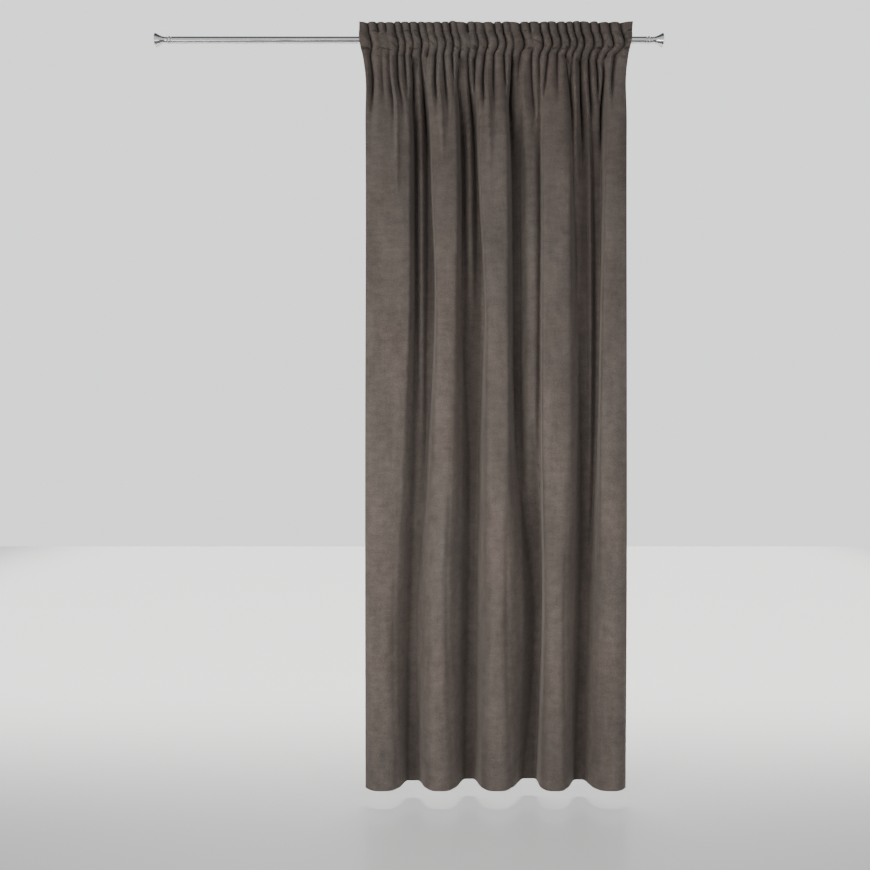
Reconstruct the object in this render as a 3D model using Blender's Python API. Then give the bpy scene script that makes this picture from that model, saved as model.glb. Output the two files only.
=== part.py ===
"""A velvet curtain gathered on a polished steel rod, with a trumpet finial at each end of the rod.

X runs along the rod from the middle of the curtain, +Z is up, and -Y is the side that faces the
room. The origin is on the rod's axis. All sizes are in metres.
"""

import math
from collections import namedtuple

import bmesh
import bpy
import numpy as np
from mathutils import Vector

# ---------------------------------------------------------------- driving sizes

ROD_RADIUS = 0.0110
ROD_WALL = 0.0012
ROD_LEFT = -1.060
ROD_RIGHT = 0.492
ROD_SIDES = 28

FIT_GAP = 0.0003            # between pieces that touch
MERGE_DISTANCE = 1e-6
SHARP_ANGLE = math.radians(35)  # edges of turned shapes sharper than this stay sharp
SPIGOT_LENGTH = 0.020       # the part of a finial that plugs into the rod

CLOTH_WIDTH = 1.400         # across the cloth before it is gathered
CLOTH_THICKNESS = 0.0012
PLY_OFFSET = 0.0014         # from the middle of the stitched heading to either of its two plies

FRILL_TOP = 0.0495          # heights, from the rod's axis
FRILL_SHOULDER = 0.0470
FRILL_WAIST = 0.0330
UPPER_STITCHES = 0.0180
LOWER_STITCHES = -0.0310
TURNING_END = -0.0390       # where the turned-down top of the cloth stops, behind
HEADING_END = -0.0410
NECK = -0.056               # the gathers are freed here
HEM = -2.450

NECK_DROP = -NECK
SHOULDER_DROP = 0.210
POCKET_FADE = 0.030         # height over which the pocket's gathers turn into the neck's

POINTS_PER_PLEAT = 3
FINE_POINTS = 3000          # along the curve from which each section's points are taken
SOLVER_STEPS = 40
DEEPEST_PLEAT = 0.050       # upper limits for the depths worked out from the cloth's width
DEEPEST_FOLD = 0.300
CREASE_POWER = 2.2          # how steeply a gather's sides meet in its groove
CREASE_ROUNDING = 0.05      # share of half a pleat that rounds the bottom of its groove
SPREAD = 0.8                # how far a groove widens over a neighbour that has faded
GATHERS_FADE = 0.57         # drop at which the last gather has gone into the long folds
THREADS_DROP = 0.50         # drop from which the mesh's columns follow the cloth's threads
BODY_PLANE = -0.004         # where the body's folds hang on average, front to back

# ---------------------------------------------------------------- gathers of the heading

# The grooves between the heading's pleats, from left to right. The first five columns say where a
# groove runs, in millimetres from the middle: in the frill, then at the four levels below. The
# next six are its share of the gathers' depth in the frill, on the rod and at those levels, and
# reaches is the drop, in millimetres, by which it has faded.
NECK_LEVEL = 56
UPPER_LEVEL = 132
SHOULDER_LEVEL = 214
LOWER_LEVEL = 362
Gather = namedtuple(
    "Gather",
    "at neck upper shoulder lower frill pocket at_neck at_upper at_shoulder at_lower reaches",
)
GATHERS = (
    Gather(-416, -411, -403, -406, -406, 0.8, 0.9, 0.9, 0.9, 0.45, 0, 400),
    Gather(-386, -372, -372, -363, -360, 1, 0.1, 0.3, 0.35, 0.15, 0, 340),
    Gather(-360, -349, -344, -334, -329, 0.6, 0.1, 0.45, 0.55, 0.45, 0.1, 470),
    Gather(-329, -322, -321, -306, -298, 1, 0.6, 0.8, 0.6, 0.4, 0, 380),
    Gather(-307, -299, -294, -288, -284, 1, 0.5, 0.8, 0.5, 0.05, 0, 330),
    Gather(-281, -278, -271, -275, -273, 1, 0.5, 0.9, 0.7, 0.7, 0.6, 520),
    Gather(-253, -246, -240, -234, -228, 1, 1, 0.7, 0.9, 1.2, 1, 580),
    Gather(-229, -224, -229, -227, -222, 0.5, 0.3, 0.7, 0.15, 0, 0, 270),
    Gather(-202, -197, -197, -194, -192, 0.55, 0.35, 1, 1, 0.3, 0, 340),
    Gather(-174, -172, -166, -158, -153, 1, 0.75, 0.75, 0.8, 0.4, 0, 400),
    Gather(-151, -142, -137, -133, -130, 1.15, 0.95, 0.9, 0.35, 0, 0, 270),
    Gather(-127, -120, -125, -122, -121, 0.35, 0.4, 1, 1, 0.8, 0.8, 520),
    Gather(-92, -91, -87, -79, -72, 1.2, 0.15, 0.75, 0.8, 1.1, 1.1, 580),
    Gather(-68, -65, -68, -71, -68, 0.55, 0.55, 0.8, 0.4, 0, 0, 270),
    Gather(-38, -36, -40, -40, -38, 0.5, 0.9, 0.9, 0.95, 0.35, 0, 340),
    Gather(-3, -7, -8, -5, -2, 1.15, 0.95, 0.75, 0.7, 0.3, 0, 360),
    Gather(21, 28, 33, 35, 38, 1.05, 0.85, 0.9, 0.6, 0.1, 0, 300),
    Gather(47, 53, 49, 44, 47, 0.35, 0.4, 1.1, 1.1, 1.2, 1.1, 580),
    Gather(82, 79, 74, 74, 74, 1.15, 1, 0.6, 0.2, 0, 0, 250),
    Gather(110, 118, 120, 126, 136, 0.85, 0.15, 0.9, 0.65, 0.6, 0.5, 520),
    Gather(146, 144, 146, 149, 149, 1, 1, 0.9, 0.5, 0.4, 0.1, 400),
    Gather(172, 170, 162, 155, 146, 0.9, 0.9, 0.7, 0.6, 0.35, 0.3, 580),
    Gather(202, 201, 202, 205, 205, 0.9, 0.9, 0.75, 0.45, 0.05, 0, 330),
    Gather(231, 229, 240, 245, 245, 1, 0.9, 0.9, 0.6, 0.5, 0.5, 520),
    Gather(254, 252, 248, 252, 254, 1, 0.9, 0.7, 0.75, 0.8, 0.5, 580),
    Gather(277, 281, 281, 283, 287, 1, 0.9, 1.1, 1.1, 1.15, 0.95, 580),
    Gather(310, 307, 308, 312, 309, 0.9, 0.8, 1.1, 0.9, 0.7, 0.3, 470),
    Gather(338, 333, 338, 341, 343, 0.9, 0.7, 0.7, 0.8, 0.2, 0, 300),
    Gather(373, 360, 356, 349, 350, 0.8, 0.8, 0.9, 1.1, 1.3, 1.2, 580),
    Gather(409, 388, 381, 381, 383, 0.8, 0.7, 0.8, 0.7, 0.25, 0, 340),
)

# How far the pleats lean to the right at each height of the heading.
Lean = namedtuple("Lean", "height shift")
LEANS = (
    Lean(FRILL_TOP, -0.0035),
    Lean(0.034, 0.0),
    Lean(0.014, 0.0028),
    Lean(-0.006, 0.0082),
    Lean(-0.022, 0.0115),
)

# The cloth's two side edges at each height.
Side = namedtuple("Side", "height left right")
SIDES = (
    Side(FRILL_TOP, -0.446, 0.446),
    Side(-0.018, -0.445, 0.440),
    Side(NECK, -0.436, 0.433),
    Side(-0.110, -0.428, 0.427),
    Side(-0.280, -0.426, 0.426),
    Side(-1.300, -0.426, 0.425),
    Side(HEM, -0.426, 0.424),
)

# ---------------------------------------------------------------- long folds of the body

# Five broad folds, A to E from left to right, stand forward of four recesses. A row gives the
# folds' facing edges at one drop below the rod, in millimetres from the middle.
Edges = namedtuple("Edges", "drop a_right b_left b_right c_left c_right d_left d_right e_left")
EDGES = (
    Edges(60, -280, -226, -122, -60, 48, 145, 228, 364),
    Edges(210, -279, -215, -124, -58, 41, 151, 239, 360),
    Edges(520, -280, -205, -125, -49, 39, 152, 241, 354),
    Edges(840, -281, -194, -130, -33, 38, 150, 238, 345),
    Edges(1330, -305, -203, -147, -30, 40, 149, 238, 338),
    Edges(1890, -333, -223, -161, -28, 33, 160, 221, 343),
    Edges(2450, -320, -227, -137, -43, 48, 149, 231, 322),
)

# The same edges' walls: how wide, in millimetres, each turns from its fold into the recess.
Walls = namedtuple("Walls", "drop a_right b_left b_right c_left c_right d_left d_right e_left")
WALLS = (
    Walls(60, 9, 9, 9, 9, 9, 9, 9, 11),
    Walls(210, 9, 8, 8, 8, 8, 9, 11, 8),
    Walls(520, 9, 8, 9, 8, 9, 8, 13, 8),
    Walls(840, 13, 8, 13, 8, 11, 8, 22, 8),
    Walls(1330, 41, 22, 60, 28, 16, 9, 37, 11),
    Walls(1890, 57, 43, 74, 41, 86, 26, 64, 43),
    Walls(2450, 30, 28, 36, 28, 38, 24, 34, 30),
)

# How far, in millimetres, each recess leans to the right behind the fold beside it.
Behind = namedtuple("Behind", "drop ab bc cd de")
BEHIND = (
    Behind(60, 0, 0, 0, 0),
    Behind(520, 4, 6, 9, 11),
    Behind(1330, 0, 4, 15, 17),
    Behind(1890, 0, 4, 22, 7),
    Behind(2450, 0, 2, 11, 4),
)

# Each recess's depth as a share of the folds' whole depth, in thousandths.
Depths = namedtuple("Depths", "drop ab bc cd de")
DEPTHS = (
    Depths(60, 1000, 1000, 1000, 1000),
    Depths(840, 900, 1000, 1000, 1000),
    Depths(1330, 680, 1000, 1000, 950),
    Depths(1890, 680, 1000, 1100, 950),
    Depths(2450, 830, 1000, 1050, 920),
)

# Low ridges that run down inside the recesses and fade into them. recess: 0 to 3 from the left;
# upper and lower: the ridge's place at the shoulder and where it fades; height: its share of the
# recess's depth; fades_from and fades_to: drops in millimetres.
Ridge = namedtuple("Ridge", "recess upper lower half_width height fades_from fades_to")
RIDGES = (
    Ridge(0, -246, -243, 16, 0.42, 500, 1700),
    Ridge(1, -87, -85, 18, 0.42, 500, 1050),
    Ridge(2, 114, 116, 44, 0.70, 1050, 1680),
    Ridge(3, 258, 262, 14, 0.70, 300, 700),
    Ridge(3, 305, 303, 12, 0.34, 500, 2000),
)

# How much the folds' fronts swell, as a share of their depth in thousandths.
Crown = namedtuple("Crown", "drop swell")
CROWNS = (Crown(60, 60), Crown(840, 60), Crown(1330, 80), Crown(1890, 140), Crown(2450, 260))
CROWN_POWER = 3.5           # how flat the middle of a front is
RIDGE_POWER = 1.6           # how broad the ridges' tops are
SIDE_SET_BACK = 0.05        # how far the cloth's side edges turn back, as a share of the depth
SIDE_TURN = 0.042           # width over which they do
FULL_LEAN_DEPTH = 0.050     # depth at which the recesses lean all the way behind their folds
FOLD_SOFTENING = 0.003      # how far corners are rounded across the cloth
GATHER_SOFTENING = 0.004

# ---------------------------------------------------------------- rows of the cloth

# One row of points across the cloth. ply: -1 in front of the rod, 1 behind it, 0 single.
# clear: how far the ply is held off the rod's vertical plane by the rod.
Row = namedtuple("Row", "height ply clear")
Pocket = namedtuple("Pocket", "height clear")
POCKET = (Pocket(-0.017, 0.0112), Pocket(-0.004, 0.0157), Pocket(0.009, 0.0150))
BODY_HEIGHTS = (HEM, -2.00, -1.56, -1.16, -0.83, -0.57, -0.37, -0.23, -0.13, NECK)


def cloth_rows():
    """The rows from the hem up the front, over the frill and down behind the rod."""
    body = [Row(height, 0, 0.0) for height in BODY_HEIGHTS]
    front = [Row(height, -1, 0.0) for height in (HEADING_END, LOWER_STITCHES)]
    front += [Row(height, -1, clear) for height, clear in POCKET]
    front += [Row(height, -1, 0.0) for height in (UPPER_STITCHES, FRILL_WAIST, FRILL_SHOULDER)]
    back = [Row(row.height, 1, row.clear) for row in reversed(front[1:])]
    return body + front + [Row(FRILL_TOP, 0, 0.0)] + back + [Row(TURNING_END, 1, 0.0)]


# ---------------------------------------------------------------- shape of the gathered cloth


def ease(share):
    """0 to 1 with level ends."""
    share = np.clip(share, 0.0, 1.0)
    return share * share * (3.0 - 2.0 * share)


def along(place, places, values):
    """A smooth curve through a table's values; places rise."""
    places = np.asarray(places, float)
    values = np.asarray(values, float)
    slopes = np.gradient(values, places, axis=0)
    place = float(np.clip(place, places[0], places[-1]))
    i = int(np.clip(np.searchsorted(places, place) - 1, 0, len(places) - 2))
    step = places[i + 1] - places[i]
    t = (place - places[i]) / step
    return (
        (1 + 2 * t) * (1 - t) ** 2 * values[i]
        + t * (1 - t) ** 2 * step * slopes[i]
        + t * t * (3 - 2 * t) * values[i + 1]
        - t * t * (1 - t) * step * slopes[i + 1]
    )


def table_at(table, drop):
    """All columns of a table whose first column is the drop in millimetres, in metres."""
    rows = np.array(table, float) / 1000.0
    return along(drop, rows[:, 0], rows[:, 1:])


def side_edges(height):
    rows = np.array(SIDES)[::-1]
    return along(height, rows[:, 0], rows[:, 1:])


def gather_columns(*names):
    return np.array([[getattr(gather, name) for gather in GATHERS] for name in names], float)


def gather_places(height):
    """Where each groove runs at this height."""
    levels = np.array([NECK_LEVEL, UPPER_LEVEL, SHOULDER_LEVEL, LOWER_LEVEL]) / 1000.0
    below = gather_columns("neck", "upper", "shoulder", "lower") / 1000.0
    if height <= NECK:
        return along(-height, levels, below)
    rows = np.array(LEANS)[::-1]
    leaning = gather_columns("at")[0] / 1000.0 + along(height, rows[:, 0], rows[:, 1])
    lowest_lean = rows[0, 0]
    share = ease((lowest_lean - height) / (lowest_lean - NECK))
    return leaning + (below[0] - leaning) * share


def gather_shares(height):
    """Each groove's share of the gathers' depth at this height."""
    frill, pocket = gather_columns("frill", "pocket")
    levels = np.array([NECK_LEVEL, UPPER_LEVEL, SHOULDER_LEVEL, LOWER_LEVEL]) / 1000.0
    below = gather_columns("at_neck", "at_upper", "at_shoulder", "at_lower")
    if height >= NECK:
        on_rod = ease((FRILL_WAIST - height) / FRILL_WAIST)
        heading = frill + (pocket - frill) * on_rod
        return heading + (below[0] - heading) * ease((NECK + POCKET_FADE - height) / POCKET_FADE)
    reaches = gather_columns("reaches")[0] / 1000.0
    fading = ease((-height - levels[1]) / (reaches - levels[1]))
    return np.clip(along(-height, levels, below), 0.0, None) * (1.0 - fading)


def gathers(x, height):
    """1 on the pleats' crests, less in the grooves between them."""
    places = gather_places(height)
    shares = gather_shares(height)
    left, right = side_edges(height)
    gaps = np.diff(places, prepend=2 * left - places[0], append=2 * right - places[-1])
    faded = np.concatenate(([0.0], 1.0 - shares, [0.0]))
    forward = np.ones_like(x)
    for i, (place, share) in enumerate(zip(places, shares)):
        before = gaps[i] + SPREAD * faded[i] * gaps[max(i - 1, 0)]
        after = gaps[i + 1] + SPREAD * faded[i + 2] * gaps[min(i + 2, len(gaps) - 1)]
        half_pleat = np.where(x < place, before, after) / 2.0
        away = np.sqrt(((x - place) / half_pleat) ** 2 + CREASE_ROUNDING**2) - CREASE_ROUNDING
        forward -= share * np.clip(1.0 - away, 0.0, 1.0) ** CREASE_POWER
    return forward


def long_folds(x, drop):
    """Two curves: how far forward the body stands, 0 in a recess and 1 on a fold, and how far to
    the right it leans there."""
    edges = table_at(EDGES, drop)
    walls = table_at(WALLS, drop)
    behind = table_at(BEHIND, drop)
    depths = table_at(DEPTHS, drop)
    left, right = side_edges(-drop)
    forward = np.ones_like(x)
    lean = np.zeros_like(x)
    for recess in range(4):
        opens, closes = edges[2 * recess : 2 * recess + 2]
        wall_in, wall_out = walls[2 * recess : 2 * recess + 2]
        depth = depths[recess] * ease((x - opens) / wall_in) * ease((closes - x) / wall_out)
        for ridge in RIDGES:
            if ridge.recess != recess:
                continue
            low = ridge.fades_to / 1000.0
            share = (drop - SHOULDER_DROP) / (low - SHOULDER_DROP)
            place = (ridge.upper + (ridge.lower - ridge.upper) * share) / 1000.0
            fading = ease((drop - ridge.fades_from / 1000.0) / (low - ridge.fades_from / 1000.0))
            away = np.abs(x - place) / (ridge.half_width / 1000.0)
            crest = 1.0 - ease(away**RIDGE_POWER)
            depth = depth * (1.0 - ridge.height * (1.0 - fading) * crest)
        forward = forward - depth
        lean = lean + behind[recess] * depth
    starts = np.concatenate(([left], edges[1::2]))
    ends = np.concatenate((edges[0::2], [right]))
    middles = (starts + ends) / 2.0
    across = np.abs(x[:, None] - middles) / (ends - middles)
    crown = table_at(CROWNS, drop)[0] * np.clip(across.min(axis=1), 0.0, 1.0) ** CROWN_POWER
    nearest_side = np.minimum(x - left, right - x)
    set_back = SIDE_SET_BACK * (1.0 - ease(nearest_side / SIDE_TURN))
    return forward * (1.0 - crown) - set_back, lean


def soften(values, spacing, reach):
    """Rounds a curve's corners over the given reach."""
    if reach < spacing:
        return values
    span = int(3 * reach / spacing)
    bell = np.exp(-0.5 * (np.arange(-span, span + 1) * spacing / reach) ** 2)
    padded = np.pad(values, span, mode="reflect", reflect_type="odd")
    return np.convolve(padded, bell / bell.sum(), mode="valid")


def arc_lengths(x, y):
    return np.concatenate(([0.0], np.cumsum(np.hypot(np.diff(x), np.diff(y)))))


def solve(length_of, low, high, target):
    """The number from low to high for which length_of it is the target."""
    for _ in range(SOLVER_STEPS):
        middle = (low + high) / 2.0
        if length_of(middle) < target:
            low = middle
        else:
            high = middle
    return (low + high) / 2.0


def section(height):
    """The cloth's curve across its width at one height, as x and y, always as long as the cloth
    is wide: where the gathers fade, the long folds take up their cloth."""
    left, right = side_edges(height)
    x = np.linspace(left, right, FINE_POINTS)
    spacing = x[1] - x[0]
    freed = ease((-height - NECK_DROP) / (SHOULDER_DROP - NECK_DROP))
    pleats = soften(gathers(x, height), spacing, GATHER_SOFTENING * freed)
    pleat_depth = solve(
        lambda depth: arc_lengths(x, depth * pleats)[-1], 0.0, DEEPEST_PLEAT, CLOTH_WIDTH
    )
    if height >= NECK:
        return x, pleat_depth * (0.5 - pleats)
    drop = -height
    pleat_depth *= 1.0 - ease((drop - NECK_DROP) / (GATHERS_FADE - NECK_DROP))
    folds, lean = (soften(curve, spacing, FOLD_SOFTENING) for curve in long_folds(x, drop))

    def curve(depth):
        leaning = x + lean * min(1.0, depth / FULL_LEAN_DEPTH)
        return leaning, -pleat_depth * pleats - depth * folds

    depth = solve(lambda trial: arc_lengths(*curve(trial))[-1], 0.0, DEEPEST_FOLD, CLOTH_WIDTH)
    x, y = curve(depth)
    lengths = arc_lengths(x, y)
    mean = np.sum((y[1:] + y[:-1]) / 2.0 * np.diff(lengths)) / lengths[-1]
    return x, y - mean + BODY_PLANE * freed


def groove_shares(height):
    """How far along the section each groove lies, with the cloth's two ends."""
    x, y = section(height)
    lengths = arc_lengths(x, y)
    grooves = np.interp(gather_places(height), x, lengths) / lengths[-1]
    return np.concatenate(([0.0], grooves, [1.0]))


def column_shares(height):
    """How far along the section each column of points lies. In the heading there is one in each
    groove; lower down the columns keep their own threads."""
    freed = ease((-height - NECK_DROP) / (THREADS_DROP - NECK_DROP))
    ends = groove_shares(NECK) * freed
    if freed < 1.0:
        ends = ends + groove_shares(height) * (1.0 - freed)
    columns = np.arange(POINTS_PER_PLEAT * (len(ends) - 1) + 1) / POINTS_PER_PLEAT
    return np.interp(columns, np.arange(len(ends)), ends)


def row_points(row):
    """The middle of the cloth along one row, as points."""
    x, y = section(row.height)
    lengths = arc_lengths(x, y)
    places = column_shares(row.height) * lengths[-1]
    x = np.interp(places, lengths, x)
    y = np.interp(places, lengths, y)
    across = np.stack([x, y], axis=1)
    before = np.diff(across, axis=0, prepend=2 * across[:1] - across[1:2])
    after = np.diff(across, axis=0, append=2 * across[-1:] - across[-2:-1])
    before /= np.linalg.norm(before, axis=1)[:, None]
    after /= np.linalg.norm(after, axis=1)[:, None]
    along_row = before + after
    along_row /= np.linalg.norm(along_row, axis=1)[:, None]
    backward = np.stack([-along_row[:, 1], along_row[:, 0]], axis=1)
    across = across + backward * row.ply * PLY_OFFSET
    across[:, 1] += row.ply * row.clear
    if row.clear:
        half_wave = (y.max() - y.min()) / 2.0
        across[:, 1] += row.ply * half_wave
    return np.column_stack([across, np.full(len(x), row.height)])


# ---------------------------------------------------------------- materials and objects


def plain_material(name, colour, roughness, metallic=0.0):
    material = bpy.data.materials.new(name)
    material.use_nodes = True
    shader = material.node_tree.nodes["Principled BSDF"]
    shader.inputs["Base Color"].default_value = (*colour, 1.0)
    shader.inputs["Roughness"].default_value = roughness
    shader.inputs["Metallic"].default_value = metallic
    return material


def add_object(name, shape, material):
    """A mesh object from a bmesh, which is freed."""
    mesh = bpy.data.meshes.new(name)
    shape.to_mesh(mesh)
    shape.free()
    mesh.materials.append(material)
    created = bpy.data.objects.new(name, mesh)
    bpy.context.scene.collection.objects.link(created)
    return created


def build_curtain(material):
    """The one panel of cloth, from its hem to the turned-down top behind the rod."""
    places = np.array([row_points(row) for row in cloth_rows()])
    shape = bmesh.new()
    points = [[shape.verts.new(place) for place in line] for line in places]
    for i in range(len(points) - 1):
        for j in range(len(points[0]) - 1):
            corners = (points[i][j], points[i][j + 1], points[i + 1][j + 1], points[i + 1][j])
            rising = (corners[0].co - corners[2].co).length
            falling = (corners[1].co - corners[3].co).length
            halves = ((0, 1, 2), (0, 2, 3)) if rising < falling else ((0, 1, 3), (1, 2, 3))
            for half in halves:
                shape.faces.new([corners[k] for k in half])
    panel = add_object("curtain_panel", shape, material)
    cloth = panel.modifiers.new("Cloth thickness", "SOLIDIFY")
    cloth.thickness = CLOTH_THICKNESS
    cloth.offset = 0.0
    cloth.use_quality_normals = True
    return panel


def turned(name, profile, material, ring=False):
    """A shape turned about the rod's axis from a profile of (along, radius) points. A ring's
    profile closes on itself, and any other's starts and ends on the axis."""
    shape = bmesh.new()
    corners = [shape.verts.new((place, 0.0, radius)) for place, radius in profile]
    ends = corners[1:] + corners[:1] if ring else corners[1:]
    edges = [shape.edges.new(pair) for pair in zip(corners, ends)]
    bmesh.ops.spin(
        shape,
        geom=corners + edges,
        cent=Vector((0.0, 0.0, 0.0)),
        axis=Vector((1.0, 0.0, 0.0)),
        angle=math.tau,
        steps=ROD_SIDES,
        use_merge=True,
    )
    bmesh.ops.remove_doubles(shape, verts=shape.verts, dist=MERGE_DISTANCE)
    bmesh.ops.recalc_face_normals(shape, faces=shape.faces)
    created = add_object(name, shape, material)
    created.data.shade_smooth()
    created.data.set_sharp_from_angle(angle=SHARP_ANGLE)
    return created


def build_rod(material):
    """A plain open tube."""
    bore = ROD_RADIUS - ROD_WALL
    profile = (
        (ROD_LEFT, bore),
        (ROD_LEFT, ROD_RADIUS),
        (ROD_RIGHT, ROD_RADIUS),
        (ROD_RIGHT, bore),
    )
    return turned("rod_tube", profile, material, ring=True)


# A finial's outline from the rod's end outwards: its spigot in the rod, a collar of rings and
# grooves as wide as the rod, and a trumpet that flares to its rounded rim.
Turning = namedtuple("Turning", "along radius")
SPIGOT_RADIUS = ROD_RADIUS - ROD_WALL - FIT_GAP
SPIGOT = (
    Turning(-SPIGOT_LENGTH, 0.0),
    Turning(-SPIGOT_LENGTH, SPIGOT_RADIUS),
    Turning(FIT_GAP, SPIGOT_RADIUS),
)
COLLAR = (
    Turning(FIT_GAP, 0.0110),
    Turning(0.0035, 0.0110),
    Turning(0.0045, 0.0085),
    Turning(0.0070, 0.0085),
    Turning(0.0080, 0.0120),
    Turning(0.0135, 0.0120),
    Turning(0.0145, 0.0085),
    Turning(0.0170, 0.0085),
    Turning(0.0180, 0.0110),
    Turning(0.0205, 0.0110),
)
TRUMPET_START = Turning(0.0215, 0.0095)
TRUMPET_END = Turning(0.0555, 0.0220)
TRUMPET_STEPS = 6
FLARE_POWER = 1.35
RIM = (
    Turning(0.0570, 0.0214),
    Turning(0.0576, 0.0195),
    Turning(0.0576, 0.0),
)


def trumpet():
    """The flare's outline: it widens faster and faster towards the rim."""
    length = TRUMPET_END.along - TRUMPET_START.along
    widening = TRUMPET_END.radius - TRUMPET_START.radius
    for step in range(TRUMPET_STEPS + 1):
        share = step / TRUMPET_STEPS
        yield Turning(
            TRUMPET_START.along + length * share,
            TRUMPET_START.radius + widening * share**FLARE_POWER,
        )


def build_finial(name, rod_end, outward, material):
    """outward is 1 at the rod's right end and -1 at its left."""
    profile = [
        Turning(rod_end + outward * point.along, point.radius)
        for point in (*SPIGOT, *COLLAR, *trumpet(), *RIM)
    ]
    return turned(name, profile, material)


def main():
    for old in list(bpy.data.objects):
        bpy.data.objects.remove(old)
    velvet = plain_material("taupe_velvet", (0.135, 0.112, 0.096), 0.85)
    steel = plain_material("polished_steel", (0.72, 0.72, 0.73), 0.18, metallic=1.0)
    build_curtain(velvet)
    build_rod(steel)
    build_finial("finial_right", ROD_RIGHT, 1, steel)
    build_finial("finial_left", ROD_LEFT, -1, steel)


main()
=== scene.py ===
"""A velvet curtain gathered on a polished rod: the cloth with its sewn heading, the rod and its
finials, and the stage on which they are looked at.

X runs along the rod from the middle of the curtain, +Z is up, and -Y is the side that faces the
room. The origin is on the rod's axis. All sizes are in metres.
"""

import functools
import math
from collections import namedtuple

import bpy
import numpy as np
from bpy.props import FloatProperty, FloatVectorProperty, PointerProperty
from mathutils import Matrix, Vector, noise


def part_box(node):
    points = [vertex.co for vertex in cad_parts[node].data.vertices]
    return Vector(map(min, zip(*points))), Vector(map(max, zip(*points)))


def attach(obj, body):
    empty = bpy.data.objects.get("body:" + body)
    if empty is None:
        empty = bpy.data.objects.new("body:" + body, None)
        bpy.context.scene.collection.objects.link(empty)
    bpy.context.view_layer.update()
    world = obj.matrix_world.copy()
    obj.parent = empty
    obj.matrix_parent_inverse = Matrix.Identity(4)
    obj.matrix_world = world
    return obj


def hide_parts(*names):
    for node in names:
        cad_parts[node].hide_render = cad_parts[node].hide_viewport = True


bl_info = {
    "name": "Velvet curtain on a rod",
    "version": (1, 0, 0),
    "blender": (4, 5, 0),
    "location": "View3D > Sidebar > Curtain",
    "description": "Hangs a gathered velvet curtain on its rod and lights it",
    "category": "Object",
}

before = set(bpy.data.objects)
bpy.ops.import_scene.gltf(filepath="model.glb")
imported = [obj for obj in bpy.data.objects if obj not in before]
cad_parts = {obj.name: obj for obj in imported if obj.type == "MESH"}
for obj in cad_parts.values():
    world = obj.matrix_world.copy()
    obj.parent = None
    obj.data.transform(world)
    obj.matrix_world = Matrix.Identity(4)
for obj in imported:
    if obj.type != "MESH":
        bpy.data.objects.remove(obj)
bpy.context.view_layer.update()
CLOTH_LOW, CLOTH_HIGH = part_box("curtain_panel")
ROD_LOW, ROD_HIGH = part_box("rod_tube")


def table(columns, *rows):
    """The rows of a table, with its columns by name."""
    row_type = namedtuple("TableRow", columns)
    return tuple(row_type(*row) for row in rows)


# ---- heights and sizes of the cloth

CLOTH_WIDTH = 1.400  # across the cloth before it is gathered
PLY_OFFSET = 0.0009  # from the middle of the stitched heading to either of its two plies

CAD_THICKNESS = 0.0012  # of the panel in the frame
FRILL_TOP = round(CLOTH_HIGH[2] - CAD_THICKNESS / 2.0, 4)  # heights, from the rod's axis
FRILL_WAIST = 0.0330
UPPER_STITCHES = 0.0180
LOWER_STITCHES = -0.0310
TURNING_END = -0.0390  # where the turned-down top of the cloth stops, behind
NECK = -0.056  # the gathers are freed here
HEM = round(CLOTH_LOW[2], 3)

NECK_DROP = -NECK
SHOULDER_DROP = 0.210
SHOULDER_HEIGHT = -0.120  # where the heading's small unevenness has faded
FRILL_UNEVEN = 0.00352  # how far the frill's top edge rises and falls
FRILL_WAVES = 31.0  # how many times it does so, more or less
FRILL_LIFT = 0.14  # how far that edge rises in the grooves, as a share of their depth
POCKET_FADE = 0.030  # height over which the pocket's gathers turn into the neck's

POINTS_PER_PLEAT = 12
FINE_POINTS = 3000  # along the curve from which each section's points are taken
SOLVER_STEPS = 40
DEEPEST_PLEAT = 0.050  # upper limits for the depths worked out from the cloth's width
DEEPEST_FOLD = 0.300
TIGHT_REACH = 0.42  # how far a gather's groove reaches, as a share of half a pleat
OPEN_REACH = 0.95  # the same where the groove has faded
FREED_OPENING = 0.34  # how far it has opened from the one to the other below the neck
OPENING_STARTS = 0.010  # above the neck
OPENING_FADE = 0.060  # height over which it opens
TIGHT_SHARE = 0.66  # share of the groove's depth that is in this reach
TIGHT_POWER = 1.35  # how sharp its bottom is
ROUND_POWER = 2.0  # how the pleats round off towards their grooves
CREASE_ROUNDING = 0.025  # share of half a pleat that rounds the bottom of its groove
SPREAD = 0.8  # how far a groove widens over a neighbour that has faded
GATHERS_FADE = 0.57  # drop at which the last gather has gone into the long folds
THREADS_DROP = 0.50  # drop from which the mesh's columns follow the cloth's threads
BODY_PLANE = -0.004  # where the body's folds hang on average, front to back

HEM_DEPTH = 0.090  # of the turned-up bottom hem
SIDE_HEM = 0.024  # of the turned-in side hems
HEM_PLIES = 0.0011  # how much thicker the cloth is where it is turned in
HEM_STEP = 0.003  # height over which the bottom hem's extra thickness ends
STEP_BELOW = 0.002  # how far below the hem's top that starts
SIDE_STEP = 0.004  # width over which the side hems' extra thickness ends
LOWEST_ROW = 0.003  # of points above the hem's edge

# ---- gathers of the heading

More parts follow.
